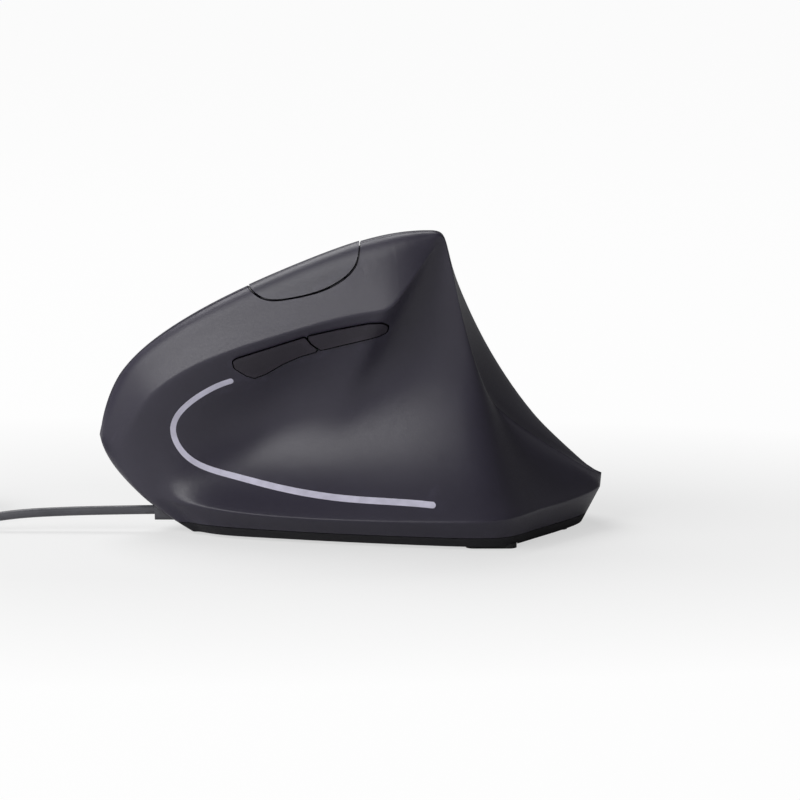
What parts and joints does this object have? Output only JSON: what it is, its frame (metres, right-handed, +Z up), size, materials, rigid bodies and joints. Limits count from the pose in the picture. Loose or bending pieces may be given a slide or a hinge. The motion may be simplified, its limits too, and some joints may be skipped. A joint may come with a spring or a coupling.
{
  "type": "ergonomic vertical mouse",
  "caption": "Upright handshake-style cabled computer mouse with a thumb scoop, side finger plates, a scroll wheel, a saddle button on the ridge and thumb buttons.",
  "frame": {"origin": "centre of the mouse's bounding box, without its cable, on the surface that its glide feet stand on", "axes": "+X from the nose, where the cable leaves, to the tail; +Y towards the fingers' and palm's side, away from the thumb; +Z up"},
  "size_m": [0.2064, 0.0947, 0.0741],
  "materials": {
    "upper_shell": "fine satin, dark violet grey",
    "trim": "satin black grey",
    "speed_plastic": "satin grey",
    "thumb_plastic": "satin black",
    "accent": "silver paint with a satin shine",
    "base_plastic": "fine grain black",
    "tyre_rubber": "grooved soft rubber",
    "wheel_plastic": "moulded dark grey",
    "steel_pin": "drawn steel",
    "circuit_board": "green solder mask",
    "bracket_plastic": "moulded black",
    "switch_case": "moulded black",
    "switch_plunger": "ivory",
    "eye_plastic": "dark tinted resin",
    "chip": "moulded black epoxy",
    "clear_lens": "clear moulded lens",
    "socket_plastic": "natural white",
    "screw_steel": "zinc plated",
    "glide": "slippery black film",
    "cable_jacket": "smooth dark grey jacket",
    "plug_plastic": "moulded black",
    "plug_steel": "bright nickel",
    "plug_insulator": "white",
    "contact_metal": "gold plated"
  },
  "bodies": {
    "mouse": {"thumb_shell": "upper_shell", "palm_shell": "upper_shell", "base_plate": "base_plastic", "wheel_trim": "trim", "accent_line": "accent", "plate_hinge_pin": "steel_pin", "switch_board": "circuit_board", "switch_frame": "bracket_plastic", "left_click_switch": "switch_case", "right_click_switch": "switch_case", "middle_switch": "switch_case", "wheel_light": "eye_plastic", "wheel_detector": "eye_plastic", "forward_switch": "switch_case", "back_switch": "switch_case", "thumb_board": "circuit_board", "speed_switch": "switch_case", "speed_board": "circuit_board", "main_board": "circuit_board", "board_chips": "chip", "optical_sensor": "chip", "sensor_lens": "clear_lens", "sensor_light": "eye_plastic", "light_clip": "bracket_plastic", "cable_socket": "socket_plastic", "case_screws": "screw_steel", "board_screws": "screw_steel", "glide_feet": "glide", "cable_bush": "cable_jacket", "inner_lead": "cable_jacket", "cable": "cable_jacket", "cable_coil": "cable_jacket", "plug_lead": "cable_jacket", "plug_moulding": "plug_plastic", "plug_shell": "plug_steel", "plug_tongue": "plug_insulator", "plug_contacts": "contact_metal"},
    "left_click": {"left_click_plate": "upper_shell"},
    "right_click": {"right_click_plate": "upper_shell"},
    "speed": {"speed_button": "speed_plastic"},
    "forward": {"forward_button": "thumb_plastic"},
    "back": {"back_button": "thumb_plastic"},
    "wheel_mount": {"wheel_carrier": "wheel_plastic"},
    "wheel": {"wheel_tyre": "tyre_rubber", "wheel_hub": "wheel_plastic", "wheel_axle": "steel_pin"},
    "left_plunger": {"left_click_plunger": "switch_plunger"},
    "right_plunger": {"right_click_plunger": "switch_plunger"},
    "wheel_plunger": {"middle_plunger": "switch_plunger"},
    "forward_plunger_body": {"forward_plunger": "switch_plunger"},
    "back_plunger_body": {"back_plunger": "switch_plunger"},
    "speed_plunger_body": {"speed_plunger": "switch_plunger"}
  },
  "joints": [
    {"name": "left_click_press", "type": "hinge", "parent": "mouse", "child": "left_click", "pos_m": [-0.00174, 0.00619, 0.04639], "axis": [-0.3547, -0.527, 0.7723], "range_deg": [0, 0.6], "stiffness_Nm_per_rad": 2, "springref_deg": -0.17},
    {"name": "right_click_press", "type": "hinge", "parent": "mouse", "child": "right_click", "pos_m": [-0.00174, 0.00619, 0.04639], "axis": [-0.3547, -0.527, 0.7723], "range_deg": [0, 0.6], "stiffness_Nm_per_rad": 2, "springref_deg": -0.17},
    {"name": "speed_press", "type": "slide", "parent": "mouse", "child": "speed", "axis": [0, 0, -1], "range_m": [0, 0.00025], "stiffness_N_per_m": 2000, "springref_m": -0.0001},
    {"name": "forward_press", "type": "slide", "parent": "mouse", "child": "forward", "axis": [0, 1, 0], "range_m": [0, 0.0005], "stiffness_N_per_m": 1500, "springref_m": -0.0001},
    {"name": "back_press", "type": "slide", "parent": "mouse", "child": "back", "axis": [0, 1, 0], "range_m": [0, 0.0005], "stiffness_N_per_m": 1500, "springref_m": -0.0001},
    {"name": "wheel_press", "type": "slide", "parent": "mouse", "child": "wheel_mount", "axis": [0.22, -0.8499, -0.4789], "range_m": [0, 0.0004], "stiffness_N_per_m": 3000, "springref_m": -0.0001},
    {"name": "wheel_turn", "type": "hinge", "parent": "wheel_mount", "child": "wheel", "pos_m": [-0.03124, 0.0078, 0.03394], "axis": [0.3547, 0.527, -0.7723], "continuous": true},
    {"name": "left_plunger_travel", "type": "slide", "parent": "mouse", "child": "left_plunger", "axis": [0.22, -0.8499, -0.4789], "range_m": [0, 0.0003]},
    {"name": "right_plunger_travel", "type": "slide", "parent": "mouse", "child": "right_plunger", "axis": [0.22, -0.8499, -0.4789], "range_m": [0, 0.0003]},
    {"name": "wheel_plunger_travel", "type": "slide", "parent": "mouse", "child": "wheel_plunger", "axis": [0.22, -0.8499, -0.4789], "range_m": [0, 0.0004]},
    {"name": "forward_plunger_travel", "type": "slide", "parent": "mouse", "child": "forward_plunger_body", "axis": [0, 1, 0], "range_m": [0, 0.0005]},
    {"name": "back_plunger_travel", "type": "slide", "parent": "mouse", "child": "back_plunger_body", "axis": [0, 1, 0], "range_m": [0, 0.0005]},
    {"name": "speed_plunger_travel", "type": "slide", "parent": "mouse", "child": "speed_plunger_body", "axis": [0, 0, -1], "range_m": [0, 0.00025]}
  ],
  "couplings": [
    {"joint": "left_plunger_travel", "follows": "left_click_press", "m_per_rad": 0.025},
    {"joint": "right_plunger_travel", "follows": "right_click_press", "m_per_rad": 0.025},
    {"joint": "wheel_plunger_travel", "follows": "wheel_press", "ratio": 1},
    {"joint": "forward_plunger_travel", "follows": "forward_press", "ratio": 1},
    {"joint": "back_plunger_travel", "follows": "back_press", "ratio": 1},
    {"joint": "speed_plunger_travel", "follows": "speed_press", "ratio": 1}
  ]
}
